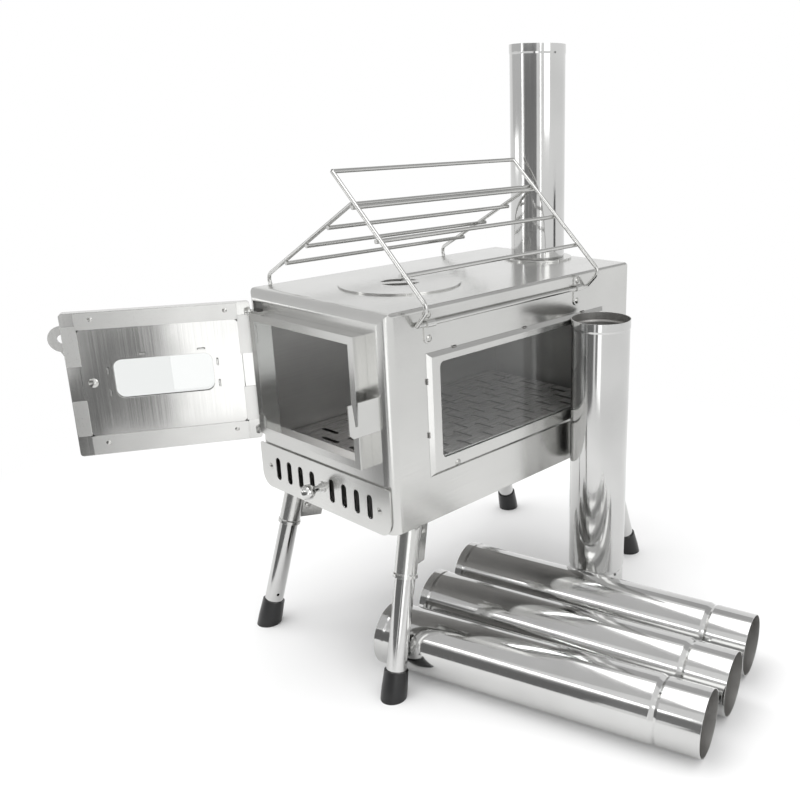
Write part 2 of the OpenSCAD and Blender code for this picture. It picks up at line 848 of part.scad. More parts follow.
// Frame behind the glass, whose tabs hold the liner
module glass_retainer() {
    rim = retainer_rim + door_glass_rim;
    lip_y = retainer_y0 - door_glass_t - run_clear;
    color("gray") set_place() swing_open() {
        difference() {
            front_plate(window_x, lip_y, window_z, door_window_w + rim + 2 * retainer_t + 2 * run_clear,
                door_window_h + rim + 2 * retainer_t + 2 * run_clear,
                retainer_y0 + retainer_t - lip_y, window_r / 2 + retainer_t);
            front_plate(window_x, lip_y - overrun, window_z, door_window_w + rim + 2 * run_clear,
                door_window_h + rim + 2 * run_clear, retainer_y0 - lip_y + overrun, window_r / 2);
            front_plate(window_x, retainer_y0 - overrun, window_z, door_window_w, door_window_h,
                retainer_t + 2 * overrun, window_r);
        }
        at_liner_tabs() translate([-tab_w / 2, retainer_y0 + retainer_t, -tab_t / 2])
            cube([tab_w, liner_y + door_sheet + tab_out - retainer_y0 - retainer_t, tab_t]);
    }
}

module door_rivets() {
    color("white") set_place() swing_open() at_door_rivets() rivet(door_sheet);
}

module latch_pivot() {
    color("white") set_place() swing_open() translate([pivot_x, 0, pivot_z]) {
        along_y(pivot_r, lever_y0 - lever_gap, liner_y + door_sheet);
        along_y(pivot_washer_r, door_y0 - pivot_washer_t, door_y0);
        translate([0, lever_y0 - lever_gap, 0]) facing_front() dome(pivot_head_r, pivot_head_h);
        translate([0, liner_y + door_sheet, 0]) rotate([-90, 0, 0]) dome(pivot_head_r, pivot_head_h);
    }
}

module latch_lever() {
    color("silver") set_place() swing_open() translate([pivot_x, lever_y1, pivot_z])
        rotate([90, 0, 0]) linear_extrude(lever_t) rotate(lever_raise) difference() {
            union() {
                circle(lever_w / 2);
                translate([0, -lever_w / 2]) square([lever_l, lever_w]);
                translate([lever_l, 0]) circle(lobe_r);
            }
            circle(pivot_r + run_clear);
            translate([lever_l, 0]) circle(lever_hole_r);
        }
}

// Body side of the hinge and the latch

module hinge_lugs() {
    color("silver") set_place() for (z = [upper_lug_z, lower_lug_z])
        translate([0, 0, z]) linear_extrude(lug_t) difference() {
            union() {
                translate([hinge_x, hinge_y]) circle(lug_r);
                translate([hinge_x - lug_side, hinge_y])
                    square([-collar_half - hinge_x + lug_side + lug_over, front_y - hinge_y]);
            }
            translate([hinge_x, hinge_y]) circle(hinge_pin_r);
        }
}

module hinge_pins() {
    color("white") set_place() translate([hinge_x, hinge_y, 0]) {
        upright(hinge_pin_r, upper_ear_z - lug_t, upper_lug_z + lug_t);
        translate([0, 0, upper_lug_z + lug_t]) dome(pin_head_r, pin_head_h);
        upright(hinge_pin_r, lower_lug_z, lower_ear_z + 2 * lug_t);
        translate([0, 0, lower_lug_z]) mirror([0, 0, 1]) dome(pin_head_r, pin_head_h);
    }
}

module latch_catch() {
    root_y = front_y - catch_t;
    color("silver") set_place() difference() {
        union() {
            translate([catch_x, 0, 0]) rotate([90, 0, 90]) linear_extrude(catch_t) polygon([
                [front_y, catch_z0], [catch_mid_y, catch_z0],
                [catch_tip_y + catch_chamfer, catch_z0], [catch_tip_y, catch_z0 + catch_chamfer],
                [catch_tip_y, catch_z1], [catch_mid_y - catch_mouth, catch_z1],
                [catch_mid_y - catch_seat, catch_slot_z], [catch_mid_y + catch_seat, catch_slot_z],
                [catch_mid_y + catch_mouth, catch_z1], [front_y, catch_z1]]);
            translate([catch_x - catch_foot, root_y, catch_z0])
                cube([catch_foot + catch_t, catch_t, catch_root_h]);
        }
        at_catch_rivet() rivet_hole(catch_t);
    }
}

module catch_rivet() {
    color("white") set_place() at_catch_rivet() rivet(catch_t + sheet);
}

// Racks

// Quarter bend of wire that leads from a short leg into its arm
module wire_bend() {
    rotate([90, 180, 0]) rotate_extrude(angle = 90) translate([rack_bend, 0]) circle(wire_r);
}

// Rack folded out to +X, its pivot rod at the origin and lying along Y
module rack_form() {
    along_y(wire_r, rack_y0, rack_y1);
    for (y = [rack_y0, rack_y1])
        translate([0, y, 0]) {
            sphere(wire_r);
            translate([0, 0, -crank_l + rack_bend]) cylinder(r = wire_r, h = crank_l - rack_bend);
            translate([rack_bend, 0, -crank_l + rack_bend]) wire_bend();
            translate([rack_bend, 0, -crank_l]) rotate([0, 90, 0])
                cylinder(r = wire_r, h = arm_l - rack_bend);
            translate([arm_l, 0, -crank_l]) sphere(wire_r);
        }
    translate([arm_l, 0, -crank_l]) along_y(wire_r, rack_y0, rack_y1);
    for (i = [1 : 3])
        translate([i * crossbar_step, 0, -crank_l + weld * wire_d])
            along_y(wire_r, rack_y0 - wire_r, rack_y1 + wire_r);
}

module right_rack() {
    color("silver") set_place() translate([rack_x, 0, rack_z]) rotate([0, -right_rest, 0]) rack_form();
}

module left_rack() {
    color("silver") set_place() scale([-1, 1, 1]) translate([rack_x, 0, rack_z])
        rotate([0, -left_rest, 0]) rack_form();
}

module rack_clip() {
    hump_r = wire_r + run_clear + clip_t;
    difference() {
        union() {
            translate([half_w, 0, rack_z]) rotate([90, 0, 90]) linear_extrude(clip_t) {
                for (z = [clip_up, -clip_down])
                    translate([0, z]) circle(clip_w / 2);
                translate([-clip_w / 2, -clip_down]) square([clip_w, clip_up + clip_down]);
            }
            translate([0, clip_w / 2, rack_z]) rotate([90, 0, 0]) linear_extrude(clip_w) {
                translate([rack_x, 0]) circle(hump_r);
                translate([half_w, -hump_r]) square([pivot_out, 2 * hump_r]);
            }
        }
        translate([0, clip_w, rack_z]) rotate([90, 0, 0]) linear_extrude(2 * clip_w) {
            translate([rack_x, 0]) circle(wire_r + run_clear);
            translate([half_w - overrun, -wire_r - run_clear])
                square([pivot_out + overrun, 2 * (wire_r + run_clear)]);
        }
        for (z = [clip_up, -clip_down])
            translate([half_w + clip_t, 0, rack_z + z]) facing_right() rivet_hole(clip_t);
    }
}

module rack_clips() {
    color("gainsboro") set_place() for (x = [-1, 1], y = clip_ys)
        scale([x, 1, 1]) translate([0, y, 0]) rack_clip();
}

module clip_rivets() {
    color("white") set_place() at_clip_rivets() rivet(clip_t + sheet);
}

// Legs: sx is -1 on the left and 1 on the right, sy is -1 at the front and 1 at the back

// Frame whose Z axis runs up the leg and whose X axis points in under the body
module at_leg(sx, sy) {
    translate([sx * foot_x, leg_mid_y + sy * foot_y, 0])
        rotate([0, leg_lean, atan2(-sy * cos(leg_turn), -sx * sin(leg_turn))]) children();
}

module below(z) {
    intersection() {
        children();
        translate([-reach / 2, -reach / 2, z - reach]) cube(reach);
    }
}

module above(z) {
    intersection() {
        children();
        translate([-reach / 2, -reach / 2, z]) cube(reach);
    }
}

module at_web_rivets() {
    for (s = web_rivet_shares)
        translate([s[0] * web_out, -web_t / 2, socket_low + s[1] * leg_grip]) facing_front() children();
}

module leg_socket(sx, sy) {
    lean_x = under_z * tan(leg_lean);
    color("gray") set_place() {
        below(under_z - pad_t / 2) at_leg(sx, sy) {
            rotate_extrude() polygon([
                [socket_bore_r, socket_low], [socket_r + lip_out, socket_low],
                [socket_r + lip_out, socket_low + lip_l], [socket_r, socket_low + lip_l + lip_out],
                [socket_r, leg_top + socket_rise], [socket_bore_r, leg_top + socket_rise]]);
            difference() {
                translate([0, web_t / 2, 0]) rotate([90, 0, 0]) linear_extrude(web_t) polygon([
                    [socket_mid_r, socket_low + web_start], [web_out, socket_low + web_rise],
                    [web_out, leg_top + socket_rise], [socket_mid_r, leg_top + socket_rise]]);
                at_web_rivets() rivet_hole(web_t);
                translate([socket_r + crescent_r + web_t, 0, leg_top]) rotate([90, 0, 0])
                    cylinder(r = crescent_r, h = 2 * web_t, center = true);
            }
        }
        translate([sx * foot_x - sx * lean_x * sin(leg_turn),
            leg_mid_y + sy * foot_y - sy * lean_x * cos(leg_turn), under_z - pad_t])
            rotate(atan2(-sy * cos(leg_turn), -sx * sin(leg_turn)))
                translate([-pad_back, -pad_w / 2, 0]) cube([pad_back + pad_front, pad_w, pad_t]);
    }
}

module leg_socket_fl() { leg_socket(-1, -1); }

module leg_socket_fr() { leg_socket(1, -1); }

module leg_socket_bl() { leg_socket(-1, 1); }

module leg_socket_br() { leg_socket(1, 1); }

module socket_rivets() {
    color("white") set_place() for (sx = [-1, 1], sy = [-1, 1])
        at_leg(sx, sy) at_web_rivets() rivet(web_t);
}

module leg_tube(sx, sy) {
    color("silver") set_place() at_leg(sx, sy) difference() {
        upright(leg_r, cap_sole, leg_top);
        upright(leg_r - leg_wall, cap_sole - overrun, leg_top + overrun);
        translate([0, 0, cap_l + eye_up]) rotate([90, 0, 0]) cylinder(r = eye_r, h = leg_d);
    }
}

module leg_tube_fl() { leg_tube(-1, -1); }

module leg_tube_fr() { leg_tube(1, -1); }

module leg_tube_bl() { leg_tube(-1, 1); }

module leg_tube_br() { leg_tube(1, 1); }

module foot_cap(sx, sy) {
    color([0.12, 0.12, 0.12]) set_place() above(0) at_leg(sx, sy) rotate(90) rotate_extrude() polygon([
        [0, -cap_under], [cap_r, -cap_under], [cap_r, cap_foot_l], [cap_top_r, cap_l],
        [leg_r, cap_l], [leg_r, cap_sole], [0, cap_sole]]);
}

module foot_cap_fl() { foot_cap(-1, -1); }

module foot_cap_fr() { foot_cap(1, -1); }

module foot_cap_bl() { foot_cap(-1, 1); }

module foot_cap_br() { foot_cap(1, 1); }

// Ash drawer

module at_drawer_rivets() {
    for (x = [-drawer_rivet_x, drawer_rivet_x])
        translate([x, drawer_y0, drawer_mid_z]) facing_front() children();
}

module drawer_front() {
    w = drawer_w;
    h = drawer_h;
    r = drawer_corner_r;
    t = drawer_top_r;
    color("silver") set_place() difference() {
        translate([0, drawer_y1, drawer_mid_z]) rotate([90, 0, 0]) linear_extrude(drawer_t) difference() {
            union() {
                translate([-w / 2, -h / 2 + r]) square([w, h - r - t]);
                translate([-w / 2 + r, -h / 2]) square([w - 2 * r, h - t]);
                translate([-w / 2 + t, -h / 2 + r]) square([w - 2 * t, h - r]);
                for (x = [-1, 1]) {
                    translate([x * (w / 2 - r), -h / 2 + r]) circle(r);
                    translate([x * (w / 2 - t), h / 2 - t]) circle(t);
                }
            }
            for (x = [-1, 1], i = [0 : air_slots - 1])
                translate([x * (air_first + i * air_pitch), 0])
                    rounded_rect(air_w, air_l, air_w / 2 - run_clear);
        }
        at_drawer_rivets() rivet_hole(drawer_t);
        translate([0, 0, drawer_mid_z]) along_y(knob_stem_r, drawer_y0 - overrun, drawer_y1 + overrun);
    }
}

module ash_tray() {
    inner = 2 * (tray_half - tray_t);
    color("darkgray") set_place() difference() {
        translate([-tray_half, drawer_y1, tray_z0]) cube([2 * tray_half, tray_l, tray_h]);
        translate([-inner / 2, drawer_y1 + tray_t, tray_z0 + tray_t])
            cube([inner, tray_l - 2 * tray_t, tray_h]);
        translate([-inner / 2 + tray_window, drawer_y1 - overrun, tray_z0 + tray_sill])
            cube([inner - 2 * tray_window, tray_t + 2 * overrun, tray_h]);
        at_drawer_rivets() rivet_hole(drawer_t + tray_t);
    }
}

module drawer_knob() {
    color("gainsboro") set_place() translate([0, 0, drawer_mid_z]) {
        along_y(knob_stem_r, drawer_y0 - knob_out, drawer_y1 + overrun);
        along_y(knob_washer_r, drawer_y0 - knob_washer_t, drawer_y0);
        along_y(knob_neck_r, drawer_y0 - knob_washer_t - knob_neck_l, drawer_y0 - knob_washer_t);
        translate([0, drawer_y0 - knob_out, 0]) sphere(knob_d / 2);
    }
}

module drawer_rivets() {
    color("white") set_place() at_drawer_rivets() rivet(drawer_t + tray_t);
}

firebox_shell();
front_collar();
back_panel();
bottom_panel();
grate_rails();
fire_grate();
window_frame();
window_glass();
window_tabs();
window_rivets();
plate_seat();
flue_collar();
latch_catch();
catch_rivet();
hinge_lugs();
hinge_pins();
rack_clips();
clip_rivets();
leg_socket_fl();
leg_socket_fr();
leg_socket_bl();
leg_socket_br();
socket_rivets();
door_pan();
door_liner();
door_glass();
glass_retainer();
door_rivets();
latch_pivot();
latch_lever();
drawer_front();
ash_tray();
drawer_knob();
drawer_rivets();
hot_plate();
right_rack();
left_rack();
leg_tube_fl();
leg_tube_fr();
leg_tube_bl();
leg_tube_br();
foot_cap_fl();
foot_cap_fr();
foot_cap_bl();
foot_cap_br();
chimney_pipe();
spare_pipe_standing();
spare_pipe_1();
spare_pipe_2();
spare_pipe_3();
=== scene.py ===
"""Camping wood stove: finishes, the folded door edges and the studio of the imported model."""

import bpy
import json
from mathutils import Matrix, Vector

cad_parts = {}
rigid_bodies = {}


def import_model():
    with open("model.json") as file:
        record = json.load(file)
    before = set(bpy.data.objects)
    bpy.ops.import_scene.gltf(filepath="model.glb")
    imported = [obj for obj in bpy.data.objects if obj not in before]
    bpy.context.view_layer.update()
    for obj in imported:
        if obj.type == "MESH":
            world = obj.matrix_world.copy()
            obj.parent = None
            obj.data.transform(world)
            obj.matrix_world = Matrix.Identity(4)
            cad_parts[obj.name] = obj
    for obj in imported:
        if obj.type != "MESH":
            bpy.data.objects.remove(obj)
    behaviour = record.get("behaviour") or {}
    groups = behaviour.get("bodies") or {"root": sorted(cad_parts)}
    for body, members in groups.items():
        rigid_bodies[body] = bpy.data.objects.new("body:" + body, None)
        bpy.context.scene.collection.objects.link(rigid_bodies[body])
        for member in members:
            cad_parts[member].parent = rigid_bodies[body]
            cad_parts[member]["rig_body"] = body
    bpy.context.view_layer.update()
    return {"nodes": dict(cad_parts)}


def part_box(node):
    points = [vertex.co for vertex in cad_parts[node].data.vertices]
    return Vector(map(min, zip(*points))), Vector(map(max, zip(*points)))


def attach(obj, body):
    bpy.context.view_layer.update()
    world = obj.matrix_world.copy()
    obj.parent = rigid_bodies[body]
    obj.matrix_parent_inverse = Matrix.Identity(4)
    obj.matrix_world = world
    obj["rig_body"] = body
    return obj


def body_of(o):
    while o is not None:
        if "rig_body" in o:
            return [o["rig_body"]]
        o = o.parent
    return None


bl_info = {
    "name": "Camping Wood Stove",
    "version": (1, 0, 0),
    "blender": (4, 5, 0),
    "location": "View3D > Sidebar > Stove",
    "description": "Finishes a sheet steel camping stove and sets up its studio",
    "category": "Object",
}

import json
import math

import bpy
import numpy as np
from bpy.props import FloatProperty, FloatVectorProperty, PointerProperty
from mathutils import Matrix, Vector

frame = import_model()
NODES = frame["nodes"]
SHELL_LOW, SHELL_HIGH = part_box("firebox_shell")
LEGS = ("fl", "fr", "bl", "br")
PIPES = ("chimney_pipe", "spare_pipe_standing", "spare_pipe_1", "spare_pipe_2", "spare_pipe_3")
MM = 0.001

# Sockets of the mix node when it blends colours
MIX_FACTOR, MIX_LOW, MIX_HIGH, MIX_RESULT = 0, 6, 7, 2

# A point this near a plane lies in it
IN_PLANE = 0.2 * MM
# A face looks along a direction above the first cosine, and at a pipe's axis below the second
LOOKS_ALONG = 0.99
LOOKS_INWARD = -0.5
# A face deeper than this under the outside of the firebox is on the inner side of its sheet
SHEET_SKIN = 0.6 * MM

# Most of a noise pattern lies between these two values
NOISE_LOW, NOISE_HIGH = 0.3, 0.7
# The grain makes the sheet this much smoother and rougher than its mean
SMOOTHEST, ROUGHEST = 0.75, 1.3
# Size of the faint smudges in the colour of a sheet
SMUDGE = 70 * MM

# Angle between the lying pipes and the X axis
PIPE_TURN = math.radians(-13)

# Folded edges of the door: how far they lap the liner, stop short of the corners and of the
# rim, stand apart, are sunk and stand proud, and the share of the height that the upper and
# the lower ones at the sides take
FOLD_LAP = 1.2 * MM
FOLD_CORNER = 12 * MM
FOLD_RIM = 0.5 * MM
FOLD_STEP = 1 * MM
FOLD_SUNK = 0.1 * MM
FOLD_PROUD = 0.8 * MM
FOLD_UPPER = 0.275
FOLD_LOWER = 0.25

# Camera, from the middle of the firebox to the right and to the front, and above the floor
EYE_RIGHT, EYE_FRONT, EYE_HEIGHT = 0.6561, 0.6404, 0.5165

# Floor: its side, and how far from the middle its shadows begin to fade and end in white
FLOOR_SIDE, FLOOR_FADE, FLOOR_CLEAR = 40, 0.42, 0.8

# Points that lamps and cards face, from the middle of the firebox on the floor
AIM_CENTRE = (0, 0, 0.25)
AIM_PIPES = (0.2, -0.1, 0.03)
AIM_DOOR = (-0.13, -0.25, 0.28)

# Large softboxes: name, place from the middle on the floor, size, setting with their power
SOFTBOXES = (
    ("lamp_top", (-0.2, -0.2, 1.9), (1.6, 1.6), "key_power"),
    ("lamp_left", (-1.7, -1.0, 0.9), (0.8, 1.2), "side_power"),
    ("lamp_right", (1.7, -0.2, 1.0), (0.8, 1.2), "side_power"),
)

# Upright strips: name, turn in degrees from straight in front, size, power
STRIP_REACH, STRIP_HEIGHT = 1.45, 0.45
STRIPS = (
    ("strip_left", -27, (0.12, 0.8), 0.9),
    ("strip_right", 57, (0.07, 0.8), 0.5),
)

# Long strip in front of the pipes, from the middle on the floor
FRONT_STRIP_PLACE, FRONT_STRIP_AIM = (-0.4, -1.6, 1.1), (0, 0, 0.1)
FRONT_STRIP_SIZE, FRONT_STRIP_POWER = (1.6, 0.14), 2.4

# Lamp inside the firebox: how far back from the middle and how far under the roof
INSIDE_BACK, INSIDE_UNDER = 0.02, 0.008
INSIDE_SIZE, INSIDE_POWER = (0.1, 0.18), 0.35

# Cards in front of the stove: turns in degrees, reach, height, target height, size, shade
FRONT_TURNS, FRONT_REACH, FRONT_HEIGHT, FRONT_AIM = (-8, 11, 30), 1.5, 0.42, 0.2
FRONT_SIZE, FRONT_SHADE = (0.5, 0.6), 0.26

# Other cards: name, point they face, place from that point, size, shade
CARDS = (
    ("ramp", AIM_PIPES, (-0.19, -0.42, 0.08), (0.55, 0.2), 0.19),
    ("overhead", AIM_PIPES, (-0.99, -0.53, 1.13), (2.0, 2.0), 0.7),
    ("low_dark", AIM_DOOR, (0.577, -0.492, -0.2), (0.15, 0.24), 0.24),
    ("low_bright", AIM_DOOR, (0.676, -0.34, -0.2), (0.22, 0.24), 1.9),
    ("high_back", AIM_CENTRE, (0.3, 1.5, 1.5), (3.4, 1.3), 0.55),
    ("behind_right", AIM_CENTRE, (1.5, 0.9, -0.15), (0.3, 0.4), 0.1),
)


def linear(hex_colour):
    """Linear red, green and blue of an sRGB hex colour."""
    parts = [int(hex_colour[i:i + 2], 16) / 255 for i in (1, 3, 5)]
    return tuple(c / 12.92 if c <= 0.04045 else ((c + 0.055) / 1.055) ** 2.4 for c in parts)


def colour_property(name, description, hex_colour):
    """Colour setting whose default is an sRGB hex colour."""
    return FloatVectorProperty(
        name=name, description=description, subtype="COLOR", size=3, min=0, max=1,
        default=linear(hex_colour))


class StoveFinish(bpy.types.PropertyGroup):
    """Colours and surface qualities of the stove."""

    satin: colour_property("Satin sheet", "Colour of the satin stainless sheet", "#CCCCCA")
    satin_rough: FloatProperty(
        name="Satin roughness", description="How far the satin sheet blurs reflections",
        default=0.2, min=0.05, max=0.6)
    polished: colour_property("Polished tube", "Colour of the polished tubes", "#C9C9C8")
    polished_rough: FloatProperty(
        name="Polish roughness", description="How far the polished tubes blur reflections",
        default=0.1, min=0.0, max=0.3)
    inner: colour_property("Inner sheet", "Colour of the mill-finish inner sheet", "#9A9997")
    # Inner walls of the firebox: a darker copy of the sheet colour, painted shade for the dim
    # inside of the box
    lining: colour_property("Firebox lining", "Colour of the inner walls", "#A2A1A0")
    grate: colour_property("Grate", "Colour of the darker sheet of the grate", "#767573")
    wire: colour_property("Drawn wire", "Colour of the rack wire", "#C6C6C4")
    rivet: colour_property("Rivets", "Colour of the rivets", "#BEBEBB")
    rubber: colour_property("Rubber", "Colour of the foot caps", "#0E0E0F")
    glass: colour_property("Glass", "Tint of the heat-resistant glass", "#F4F6F5")
    grain: FloatProperty(
        name="Grain spacing", description="Distance between the grain lines of the sheet",
        default=0.5 * MM, min=0.0001, max=0.005, subtype="DISTANCE", unit="LENGTH")


class StoveStage(bpy.types.PropertyGroup):
    """Camera, lamps and floor."""

    azimuth: FloatProperty(
        name="Camera azimuth", description="Direction that the camera looks from",
        default=math.radians(41.22), subtype="ANGLE", unit="ROTATION")
    elevation: FloatProperty(
        name="Camera elevation", description="Height of the camera above the horizon",
        default=math.radians(17.82), subtype="ANGLE", unit="ROTATION")
    roll: FloatProperty(
        name="Camera roll", description="Turn of the camera about its own axis",
        default=math.radians(0.44), subtype="ANGLE", unit="ROTATION")
    lens: FloatProperty(
        name="Lens", description="Focal length in millimetres", default=40.22, min=20, max=200)
    shift_x: FloatProperty(
        name="Shift", description="Sideways shift of the lens", default=-0.15, min=-1, max=1)
    key_power: FloatProperty(
        name="Top light", description="Power of the overhead softbox", default=14, min=0,
        unit="POWER")
    side_power: FloatProperty(
        name="Side light", description="Power of each side softbox", default=4.5, min=0,
        unit="POWER")
    fill: FloatProperty(
        name="Room light", description="Strength of the light from all round", default=0.95,
        min=0, max=2)
    floor: colour_property("Floor", "Colour of the floor", "#F2F2F2")


def add(tree, kind, values=None, links=None, **settings):
    """Add a shader node: values fill its sockets, links join them, settings are its options."""
    made = tree.nodes.new(kind)
    for name, value in settings.items():
        setattr(made, name, value)
    for name, value in (values or {}).items():
        made.inputs[name].default_value = value
    for name, source in (links or {}).items():
        tree.links.new(source, made.inputs[name])
    return made


def new_material(name):
    """Material with an empty node tree."""
    material = bpy.data.materials.new(name)
    material.use_nodes = True
    material.node_tree.nodes.clear()
    return material


def rgba(colour, share=1.0):
    """Opaque colour, made darker or lighter by a share."""
    return (colour[0] * share, colour[1] * share, colour[2] * share, 1.0)


def streaks(tree, along, length, width, turn=0.0):
    """Noise drawn out along one axis: length and width are the size of one streak in metres."""
    place = add(tree, "ShaderNodeTexCoord")
    sizes = [length if axis == along else width for axis in "XYZ"]
    laid = add(tree, "ShaderNodeMapping",
               {"Rotation": (0, 0, turn), "Scale": [1 / s for s in sizes]},
               {"Vector": place.outputs["Object"]}, vector_type="POINT")
    return add(tree, "ShaderNodeTexNoise", {"Scale": 1.0, "Detail": 3.0, "Roughness": 0.6},
               {"Vector": laid.outputs["Vector"]}, noise_dimensions="3D")


def blotches(tree, size, detail=2.0):
    """Even noise whose blotches are about one size across, in metres."""
    place = add(tree, "ShaderNodeTexCoord")
    return add(tree, "ShaderNodeTexNoise",
               {"Scale": 1 / size, "Detail": detail, "Roughness": 0.5},
               {"Vector": place.outputs["Object"]}, noise_dimensions="3D")


def spread(tree, source, low, high):
    """Map a 0 to 1 pattern on to the range from low to high."""
    return add(tree, "ShaderNodeMapRange",
               {"From Min": NOISE_LOW, "From Max": NOISE_HIGH, "To Min": low, "To Max": high},
               {"Value": source.outputs["Fac"]})


def tone(tree, source, colour, low, high):
    """Blend between two shades of one colour by a pattern."""
    shade = spread(tree, source, 0.0, 1.0)
    return add(tree, "ShaderNodeMix", {MIX_LOW: rgba(colour, low), MIX_HIGH: rgba(colour, high)},
               {MIX_FACTOR: shade.outputs["Result"]}, data_type="RGBA")


def metal_sheet(name, colour, rough, along, grain, depth, edge=0.4 * MM, turn=0.0,
                wave=0.0, wave_size=45 * MM, shade=(0.93, 1.04), streak=60 * MM):
    """Rolled stainless sheet: fine lines along the rolling direction and slightly soft edges."""
    material = new_material(name)
    tree = material.node_tree
    lines = streaks(tree, along, streak, grain, turn)
    smudges = blotches(tree, SMUDGE)
    colours = tone(tree, smudges, colour, *shade)
    roughness = spread(tree, lines, rough * SMOOTHEST, rough * ROUGHEST)
    edges = add(tree, "ShaderNodeBevel", {"Radius": edge}, samples=4)
    bump = add(tree, "ShaderNodeBump", {"Strength": 1.0, "Distance": depth},
               {"Height": lines.outputs["Fac"], "Normal": edges.outputs["Normal"]})
    if wave:
        swell = blotches(tree, wave_size, 1.0)
        bump = add(tree, "ShaderNodeBump", {"Strength": 1.0, "Distance": wave},
                   {"Height": swell.outputs["Fac"], "Normal": bump.outputs["Normal"]})
    steel = add(tree, "ShaderNodeBsdfPrincipled", {"Metallic": 1.0},
                {"Base Color": colours.outputs[MIX_RESULT],
                 "Roughness": roughness.outputs["Result"], "Normal": bump.outputs["Normal"]})
    add(tree, "ShaderNodeOutputMaterial", None, {"Surface": steel.outputs["BSDF"]})
    return material


def heat_glass():
    """Clear heat-resistant glass, float-smooth, with a slight grey tint from the side."""
    f = bpy.context.scene.stove_finish
    material = new_material("heat_resistant_glass")
    tree = material.node_tree
    pane = add(tree, "ShaderNodeBsdfPrincipled",
               {"Base Color": rgba(f.glass), "Roughness": 0.01, "IOR": 1.47,
                "Transmission Weight": 1.0})
    add(tree, "ShaderNodeOutputMaterial", None, {"Surface": pane.outputs["BSDF"]})
    return material


def moulded_rubber():
    """Black moulded rubber: dull, with the fine grit of the mould."""
    f = bpy.context.scene.stove_finish
    material = new_material("moulded_rubber")
    tree = material.node_tree
    grit = blotches(tree, 0.8 * MM)
    bloom = blotches(tree, 14 * MM)
    colours = tone(tree, bloom, f.rubber, 0.8, 1.5)
    bump = add(tree, "ShaderNodeBump", {"Strength": 0.6, "Distance": 0.08 * MM},
               {"Height": grit.outputs["Fac"]})
    rubber = add(tree, "ShaderNodeBsdfPrincipled",
                 {"Roughness": 0.3, "IOR": 1.52, "Specular IOR Level": 0.5},
                 {"Base Color": colours.outputs[MIX_RESULT],
                  "Normal": bump.outputs["Normal"]})
    add(tree, "ShaderNodeOutputMaterial", None, {"Surface": rubber.outputs["BSDF"]})
    return material


def dress(material, *names):
    """Give the named pieces one material."""
    for name in names:
        mesh = NODES[name].data
        mesh.materials.clear()
        mesh.materials.append(material)


def door_face():
    """Inner side of the door pan: its direction, its plane and its outline along and up it."""
    pan, liner = NODES["door_pan"], NODES["door_liner"]
    biggest = max(liner.data.polygons, key=lambda face: face.area)
    inward = (liner.matrix_world.to_3x3() @ biggest.normal).normalized()
    if inward.x < 0:
        inward = -inward
    sideways = inward.cross(Vector((0, 0, 1)))
    plane = max((liner.matrix_world @ v.co).dot(inward) for v in liner.data.vertices)
    rim = [pan.matrix_world @ v.co for v in pan.data.vertices]
    rim = [p for p in rim if abs(p.dot(inward) - plane) < IN_PLANE]
    across = [p.dot(sideways) for p in rim]
    up = [p.z for p in rim]
    return inward, plane, min(across), max(across), min(up), max(up)


def line_inside(mesh, lining):
    """Give the inner wall of a pipe its own material, which for the pipes is painted lighter as
    painted light inside the tube.
    """
    mesh.materials.append(lining)
    points = np.array([v.co for v in mesh.vertices])
    centre = points.mean(axis=0)
    along = Vector(np.linalg.svd(points - centre, full_matrices=False)[2][0])
    for face in mesh.polygons:
        out = face.center - Vector(centre)
        out -= along * out.dot(along)
        if out.normalized().dot(face.normal) < LOOKS_INWARD:
            face.material_index = 1


def satin(name="satin_stainless_sheet", along="Y"):
    """Satin stainless sheet: soft reflections drawn out a little along the rolling lines."""
    f = bpy.context.scene.stove_finish
    return metal_sheet(name, f.satin, f.satin_rough, along, grain=f.grain, depth=0.004 * MM,
                       wave=0.05 * MM, shade=(0.96, 1.03))


class STOVE_OT_firebox(bpy.types.Operator):
    """Finish the firebox, its window, hob and grate"""

    bl_idname = "stove.firebox"
    bl_label = "Firebox"

    def execute(self, context):
        f = context.scene.stove_finish
        sheet = satin()
        dress(sheet, "firebox_shell", "front_collar", "back_panel", "plate_seat", "flue_collar",
              "latch_catch", "hinge_lugs", "rack_clips", "hot_plate")
        dress(satin("satin_window_frame"), "window_frame")
        inner = metal_sheet("mill_finish_inner_sheet", f.inner, rough=0.38, along="Y",
                            grain=0.8 * MM, depth=0.01 * MM)
        dress(inner, "bottom_panel", "grate_rails", "window_tabs")
        # Inner faces of the shell and back panel: rougher, and darker as painted shade inside the
        # firebox
        lining = metal_sheet("dull_firebox_lining", f.lining, rough=0.42, along="Y",
                             grain=0.8 * MM, depth=0.01 * MM, shade=(0.9, 1.1))
        self.line_firebox(lining)
        grate = metal_sheet("dark_mill_finish_grate", f.grate, rough=0.3, along="Y",
                            grain=0.8 * MM, depth=0.0008 * MM, shade=(0.85, 1.15))
        dress(grate, "fire_grate")
        rivets = metal_sheet("bright_rivet_steel", f.rivet, rough=0.18, along="X",
                             grain=0.6 * MM, depth=0.002 * MM)
        dress(rivets, "window_rivets", "catch_rivet", "hinge_pins", "clip_rivets",
              "socket_rivets", "door_rivets", "latch_pivot", "drawer_rivets")
        glass = heat_glass()
        dress(glass, "window_glass", "door_glass")
        for name in ("window_glass", "door_glass"):
            NODES[name].visible_shadow = False
        return {"FINISHED"}

    def line_firebox(self, lining):
        """Give the inner walls of the shell and the back panel their dull finish and their darker
        colour, which is painted shade inside the firebox.
        """
        middle = (SHELL_LOW + SHELL_HIGH) / 2
        for name in ("firebox_shell", "back_panel"):
            piece = NODES[name]
            piece.data.materials.append(lining)
            turn = piece.matrix_world.to_3x3()
            for face in piece.data.polygons:
                centre = piece.matrix_world @ face.center
                deep = min(min(centre - SHELL_LOW), min(SHELL_HIGH - centre))
                if deep > SHEET_SKIN and (turn @ face.normal).dot(middle - centre) > 0:
                    face.material_index = 1


